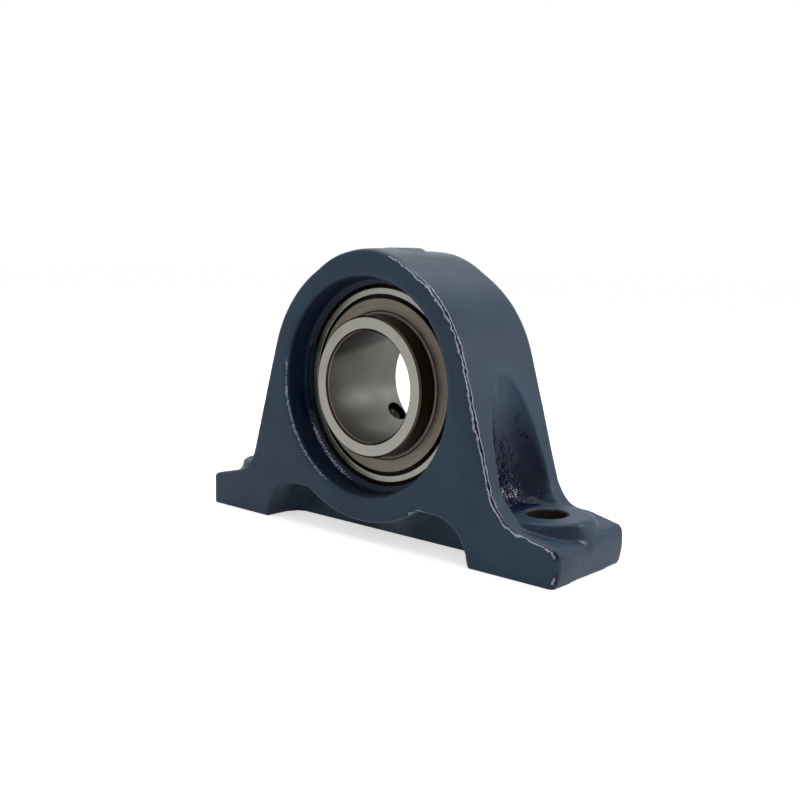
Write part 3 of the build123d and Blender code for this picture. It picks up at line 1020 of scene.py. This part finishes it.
    def outline_depth(self, points: np.ndarray) -> np.ndarray:
        """Return how far points lie inside the arch and flanks, seen along the shaft.

        The outline is a circle round the bearing down to the flank's angle, and its tangent below.

        Args:
            points: the skin's points in millimetres.

        Returns:
            Depths in millimetres, less than 0 outside.
        """
        lean = math.radians(self.lean)
        x, z = np.abs(points[:, 0]), points[:, 2] - self.sizes.centre_z
        flank = self.arch_r - (x * math.cos(lean) + z * math.sin(lean))
        round_part = self.arch_r - np.hypot(x, z)
        return np.where(z > x * math.tan(lean), round_part, flank)

    def dress(self, paint: bpy.types.Material) -> None:
        """Give the casting its paint and put it in the frame.

        Args:
            paint: the enamel.
        """
        self.piece.data.materials.append(paint)
        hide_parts("housing")
        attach(self.piece, "housing")


# ------------------------------------------------------------------ rings, flingers and seals
@dataclass
class BearingRings:
    """The ground inner and outer rings, turned with fine rounds on every corner."""

    sizes: UnitSizes
    groove_r: float = 6.6
    groove_floor: float = 2.27
    groove_steps: int = 15
    land_r: float = 36.9
    wall: float = 5.6
    outside_steps: int = 25
    bore_chamfer: float = 1.0
    rim_chamfer: float = 0.8
    corner_chamfer: float = 1.4
    seal_step: float = 0.2
    edge_round: float = 0.12
    arc_round: float = 0.01
    screw_r: float = 4.04
    sink_r: float = 4.6
    mouth_r: float = 5.0
    hole_segments: int = 48

    def build(self) -> None:
        """Make and dress both rings."""
        bore = self.sizes.bore_r
        bands = (
            # the bore is coloured darker than the faces and darker again towards its top: painted shade inside the
            # bore
            Band(0.0, bore + 0.1, "504f4b", matt=0.22),
            Band(0.0, bore + 0.1, "2b2a27", shade_z=13.0),
            Band(bore + 0.1, bore + self.bore_chamfer, "2a2520"),
            Band(bore + 0.1, bore + self.bore_chamfer, "33211a", patchy=0.75),
            # dark brown on the inner ring's shoulder, painted shade and dark reflection
            Band(self.sizes.shoulder_r - self.rim_chamfer, self.land_r, "3f352b"),
        )
        ground = TurnedSteel(
            "ground_bearing_steel",
            light="8c8b83",
            dark="7f7e77",
            bands=bands,
            holes=self.sizes.screw_angles,
            hole_y=self.sizes.screw_y,
        )
        # near black in the outer ring's seal step, painted shade in the gap
        gap = Band(self.land_r - 1, self.land_r + self.seal_step, "14120f", matt=0.3)
        honed = TurnedSteel("honed_race_steel", "8b8a85", "7b7a75", bands=(gap,))
        rings = ((self.inner_ring(), "inner_ring", ground), (self.outer_ring(), "outer_ring", honed))
        for piece, node, steel in rings:
            piece.data.materials.clear()
            piece.data.materials.append(steel.build(self.sizes.centre))
            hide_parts(node)
            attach(piece, node)
            LOG.info("%s: %d faces", piece.name, len(piece.data.polygons))

    def groove(self, floor_r: float, up: int) -> np.ndarray:
        """Return a ball groove as an arc of points from front to back.

        Args:
            floor_r: radius of the groove's floor from the shaft axis.
            up: 1 where the groove opens outwards, -1 where it opens inwards.

        Returns:
            Rows of the distance along the shaft and the radius.
        """
        half = math.acos(1 - self.groove_floor / self.groove_r)
        swing = np.linspace(-half, half, self.groove_steps)
        along = self.groove_r * np.sin(swing)
        out = floor_r + up * self.groove_r * (1 - np.cos(swing))
        return np.stack((along, out), axis=1)

    def inner_ring(self) -> bpy.types.Object:
        """Return the inner ring with its tapped holes."""
        front, back = self.sizes.span("inner_ring")
        bore, rim = self.sizes.bore_r, self.sizes.shoulder_r
        groove = self.groove(rim - self.groove_floor, 1)
        corners = np.array(
            [
                *groove,
                (back - self.rim_chamfer, rim),
                (back, rim - self.rim_chamfer),
                (back, bore + self.bore_chamfer),
                (back - self.bore_chamfer, bore),
                (front + self.bore_chamfer, bore),
                (front, bore + self.bore_chamfer),
                (front, rim - self.rim_chamfer),
                (front + self.rim_chamfer, rim),
            ]
        )
        radii = np.full(len(corners), self.edge_round)
        radii[1 : len(groove) - 1] = self.arc_round
        piece = turned("inner_ring_ground", rounded(corners, radii), self.sizes.centre)
        for angle in self.sizes.screw_angles:
            cut(piece, self.screw_tool(angle))
        piece.data.set_sharp_from_angle(angle=math.radians(32))
        return piece

    def screw_tool(self, angle: float) -> bpy.types.Object:
        """Return a rod along one set screw's axis, wider inside the bore and outside the ring.

        Args:
            angle: which way the screw points round the shaft, in degrees.

        Returns:
            The closed rod.
        """
        bore, rim = self.sizes.bore_r, self.sizes.shoulder_r
        out = np.array([bore - 7.5, bore - 0.2, bore + 0.7, rim - 0.6, rim + 0.1, rim + 11.4])[:, None]
        radius = np.repeat([self.sink_r, self.screw_r, self.mouth_r], 2)[:, None]
        turn = np.linspace(0, 2 * np.pi, self.hole_segments, endpoint=False)[None, :]
        points = self.sizes.beside_screw(angle, radius * np.cos(turn), radius * np.sin(turn), out)
        tool = new_piece("screw_tool", points, grid_quads(len(out), self.hole_segments, False, True))
        close_ends(tool)
        return tool

    def outer_ring(self) -> bpy.types.Object:
        """Return the outer ring with its ball-shaped outside and seal grooves."""
        front, back = self.sizes.span("outer_ring")
        sphere = self.land_r + self.wall
        reach = math.asin(back / sphere) - self.corner_chamfer / sphere
        swing = np.linspace(-reach, reach, self.outside_steps)
        outside = np.stack((sphere * np.sin(swing), sphere * np.cos(swing)), axis=1)
        face_r = math.sqrt(sphere**2 - back**2)
        groove = self.groove(self.land_r + self.groove_floor, -1)[::-1]
        corners = np.array(
            [
                (front + self.seal_step, self.land_r),
                (front + self.seal_step, self.land_r + self.seal_step),
                (front, self.land_r + self.seal_step),
                (front, face_r - self.corner_chamfer),
                *outside,
                (back, face_r - self.corner_chamfer),
                (back, self.land_r + self.seal_step),
                (back - self.seal_step, self.land_r + self.seal_step),
                (back - self.seal_step, self.land_r),
                *groove,
            ]
        )
        radii = np.full(len(corners), self.arc_round)
        radii[:4] = self.edge_round
        radii[len(outside) + 4 : len(outside) + 8] = self.edge_round
        outline = rounded(corners, radii, steps=5, support=0.03)
        return turned("outer_ring_ground", outline, self.sizes.centre, segments=288)


@dataclass
class Flinger:
    """A pressed and plated steel flinger: a flat disc with a hem beside the inner ring."""

    sizes: UnitSizes
    node: str
    sheet: float = 1.0
    hem: float = 1.9
    ridge_r: float = 33.6
    clearance: float = 0.01

    def build(self) -> None:
        """Make and dress the flinger."""
        front, back = self.sizes.span(self.node)
        outer = self.sizes.radius(self.node)
        side = -1 if front < 0 else 1
        face = abs(front) if side < 0 else back
        root = min(abs(front), abs(back))
        inner = self.sizes.shoulder_r + self.clearance
        corners = np.array(
            [
                (face - 0.25, inner),
                (face - 0.05, inner + 0.35),
                (face - 0.45, inner + 0.75),
                (face - 0.5, inner + 1.15),
                (face - 0.05, inner + self.hem),
                (face, inner + self.hem + 0.6),
                (face, self.ridge_r - 0.8),
                (face - 0.05, self.ridge_r),
                (face - 0.05, self.ridge_r + 0.8),
                (face - 0.06, outer - 0.3),
                (face - 0.3, outer),
                (face - self.sheet, outer),
                (face - self.sheet, inner + self.hem),
                (root, inner + self.hem - 0.5),
                (root, inner),
            ]
        )
        radii = np.array([0.1, 0.18, 0.15, 0.2, 0.3, 0.6, 0.5, 0.5, 0.5, 0.12, 0.15, 0.1, 0.2, 0.2, 0.1])
        outline = rounded(corners, radii, steps=5, support=0.05) * (side, 1)
        piece = turned(f"{self.node}_pressed", outline, self.sizes.centre, segments=320)
        steel = TurnedSteel(
            "phosphated_sheet_steel", "726b61", "655f56", roughness=0.5, mark_mm=0.8, mark_depth_mm=0.006
        )
        piece.data.materials.append(steel.build(self.sizes.centre))
        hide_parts(self.node)
        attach(piece, "inner_ring")
        LOG.info("%s: %d faces", piece.name, len(piece.data.polygons))


@dataclass
class SetScrew:
    """A blackened cup-point set screw with a cut thread and a hexagon socket."""

    sizes: UnitSizes
    node: str
    angle: float
    point_out: float = 24.5
    length: float = 7.5
    major_r: float = 3.98
    thread: float = 0.55
    pitch: float = 1.25
    point_r: float = 2.9
    head_r: float = 3.3
    tip_r: float = 0.02
    segments: int = 60
    socket: float = 4.0
    socket_depth: float = 3.2

    def build(self) -> None:
        """Make and dress the screw."""
        piece = self.body()
        cut(piece, self.socket_tool())
        piece.data.set_sharp_from_angle(angle=math.radians(35))
        oxide = TurnedSteel("black_oxide_steel", "242321", "151412", roughness=0.38, marks=MarkWay.NONE)
        piece.data.materials.clear()
        piece.data.materials.append(oxide.build(self.sizes.centre))
        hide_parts(self.node)
        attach(piece, self.node)
        LOG.info("%s: %d faces", piece.name, len(piece.data.polygons))

    def lathe(self, name: str, radius: np.ndarray, heights: np.ndarray, turn: np.ndarray) -> bpy.types.Object:
        """Turn a closed solid round the screw's axis.

        Args:
            name: the piece's name.
            radius: the radius at each height, or at each height and angle.
            heights: distances out from the screw's point, as a column.
            turn: angles round the screw, as a row.

        Returns:
            The solid.
        """
        along, side = radius * np.cos(turn), radius * np.sin(turn)
        points = self.sizes.beside_screw(self.angle, along, side, self.point_out + heights)
        piece = new_piece(name, points, grid_quads(len(heights), turn.size, False, True))
        close_ends(piece)
        return piece

    def body(self) -> bpy.types.Object:
        """Return the threaded body with its hollow point.

        The radius falls from the crest by the thread's depth times a triangle wave of
        (distance / pitch - turn / 360 degrees), and is held under a cone at both ends.
        """
        turn = np.linspace(0, 2 * np.pi, self.segments, endpoint=False)[None, :]
        out = np.linspace(0, self.length, 91)[:, None]
        phase = (out / self.pitch - turn / (2 * np.pi)) % 1
        wave = np.abs(2 * phase - 1)
        radius = self.major_r - self.thread * np.clip(1.25 * wave - 0.12, 0, 1)
        radius = np.minimum(radius, self.point_r + out)
        radius = np.minimum(radius, self.head_r + self.length - out)
        cup = np.array([(self.tip_r, 0.9), (1.9, 0.35), (2.5, 0.0)])
        radius = np.concatenate((cup[:, :1] + 0 * turn, radius, self.tip_r + 0 * turn))
        heights = np.concatenate((cup[:, 1:], out, [[self.length]]))
        piece = self.lathe(f"{self.node}_threaded", radius, heights, turn)
        piece.data.shade_smooth()
        return piece

    def socket_tool(self) -> bpy.types.Object:
        """Return a hexagonal rod with a pointed end, the shape of the socket."""
        corner_r = self.socket / math.sqrt(3)
        floor = self.length - self.socket_depth
        profile = np.array([(0.05, floor - 0.8), (corner_r, floor), (corner_r, self.length + 2)])
        turn = np.radians(np.arange(0, 360, 60))[None, :]
        return self.lathe("socket_tool", profile[:, :1], profile[:, 1:], turn)


@dataclass
class HiddenParts:
    """The balls, cage, seals and plates, which keep their CAD form and get a finish."""

    sizes: UnitSizes

    def build(self) -> None:
        """Dress every node that no piece replaces."""
        centre = self.sizes.centre
        ball = TurnedSteel("polished_ball_steel", "c9c9c7", "b4b4b2", roughness=0.12, marks=MarkWay.NONE)
        cage = TurnedSteel("pressed_cage_steel", "a7a49c", "8b8880", roughness=0.35, mark_mm=1.5)
        plate = TurnedSteel("blackened_plate_steel", "1c1a18", "12110f", roughness=0.5, mark_mm=0.9)
        rubber = NitrileRubber().build()
        finish = {"ball": ball.build(centre), "cage": cage.build(centre), "seal_plate": plate.build(centre)}
        finish |= {"seal_front": rubber, "seal_back": rubber}
        for name, node in frame["nodes"].items():
            chosen = next((finish[key] for key in finish if name.startswith(key)), None)
            if chosen is not None:
                node.data.materials.clear()
                node.data.materials.append(chosen)


# ------------------------------------------------------------------ studio
@dataclass
class Studio:
    """A pale floor, a white surround, soft lamps and the camera."""

    camera_at: tuple[float, float, float] = (285.34, -317.97, 111.09)
    yaw: float = 41.92
    pitch: float = 7.471
    roll: float = 1.02
    lens: float = 46.71
    floor_size: float = 30.0
    floor_lift: float = 0.6
    ambient: float = 0.5

    def build(self) -> None:
        """Set up the floor, surround, lamps and camera."""
        self.floor()
        self.surround()
        self.lamp("overhead_softbox", (0.05, 0.15, 0.75), (0, 0, 0.04), 0.8, 4.6)
        self.lamp("rear_softbox", (0.66, 0.56, 0.42), (0, 0, 0.05), 0.2, 2.8)
        self.lamp("front_fill", (-0.35, -0.8, 0.3), (0, 0, 0.05), 0.7, 0.65)
        self.lamp("front_glint", (0.27, -0.71, 0.4), (0.065, 0.01, 0.045), 0.08, 0.25)
        self.camera()
        bpy.context.scene.view_settings.view_transform = "Standard"

    def floor(self) -> None:
        """Add the floor, lit like any other surface, with a white lift for the rays that show it directly."""
        half = self.floor_size / 2
        points = np.array([(-half, -half, 0), (half, -half, 0), (half, half, 0), (-half, half, 0)], float)
        mesh = bpy.data.meshes.new("floor")
        mesh.from_pydata(points, [], [(0, 1, 2, 3)])
        floor = bpy.data.objects.new("floor", mesh)
        bpy.context.scene.collection.objects.link(floor)
        shader = Shader("floor_paper")
        shader.set(Base_Color=(0.82, 0.82, 0.82, 1), Roughness=1.0, Specular_IOR_Level=0.0)
        lift = shader.times(direct_rays(shader.tree), self.floor_lift)
        shader.set(Emission_Color=(1, 1, 1, 1), Emission_Strength=lift)
        mesh.materials.append(shader.material)

    def surround(self) -> None:
        """Make the world white to the camera and in reflections, and a soft grey light elsewhere."""
        world = bpy.data.worlds.new("surround")
        world.use_nodes = True
        tree = world.node_tree
        tree.nodes.clear()
        sky = add_node(tree, "ShaderNodeBackground", {0: (0.95, 0.97, 1.0, 1), 1: self.ambient})
        white = add_node(tree, "ShaderNodeBackground", {0: (1, 1, 1, 1), 1: 1.0})
        shares = {0: direct_rays(tree), 1: sky.outputs[0], 2: white.outputs[0]}
        both = add_node(tree, "ShaderNodeMixShader", shares)
        add_node(tree, "ShaderNodeOutputWorld", {0: both.outputs[0]})
        bpy.context.scene.world = world

    def lamp(self, name: str, at: tuple, aim: tuple, size: float, power: float) -> None:
        """Add a square soft lamp.

        Args:
            name: the lamp's name.
            at: where it stands, in metres.
            aim: the point that it faces.
            size: its side in metres.
            power: its power in watts.
        """
        data = bpy.data.lights.new(name, "AREA")
        data.size = size
        data.energy = power
        lamp = bpy.data.objects.new(name, data)
        lamp.location = at
        lamp.rotation_euler = (Vector(aim) - Vector(at)).to_track_quat("-Z", "Y").to_euler()
        bpy.context.scene.collection.objects.link(lamp)

    def camera(self) -> None:
        """Add the camera: it looks along its yaw and pitch, and is rolled about that line."""
        yaw, pitch, roll = (math.radians(angle) for angle in (self.yaw, self.pitch, self.roll))
        ahead = Vector((-math.sin(yaw) * math.cos(pitch), math.cos(yaw) * math.cos(pitch), -math.sin(pitch)))
        level = ahead.cross(Vector((0, 0, 1))).normalized()
        above = level.cross(ahead)
        right = level * math.cos(roll) + above * math.sin(roll)
        up = above * math.cos(roll) - level * math.sin(roll)
        data = bpy.data.cameras.new("camera")
        data.lens = self.lens
        data.sensor_width = 36.0
        data.clip_start = 0.01
        camera = bpy.data.objects.new("camera", data)
        turn = Matrix((right, up, -ahead)).transposed().to_4x4()
        camera.matrix_world = Matrix.Translation(Vector(self.camera_at) * MM) @ turn
        bpy.context.scene.collection.objects.link(camera)
        bpy.context.scene.camera = camera


def main() -> None:
    """Build the unit and its studio."""
    logging.basicConfig(level=logging.INFO, format="%(name)s %(message)s")
    sizes = UnitSizes()
    Studio().build()
    Casting(sizes).build()
    BearingRings(sizes).build()
    Flinger(sizes, "flinger_front").build()
    Flinger(sizes, "flinger_back").build()
    for node, angle in zip(("set_screw_a", "set_screw_b"), sizes.screw_angles):
        SetScrew(sizes, node, angle).build()
    HiddenParts(sizes).build()


if __name__ == "__main__":
    main()
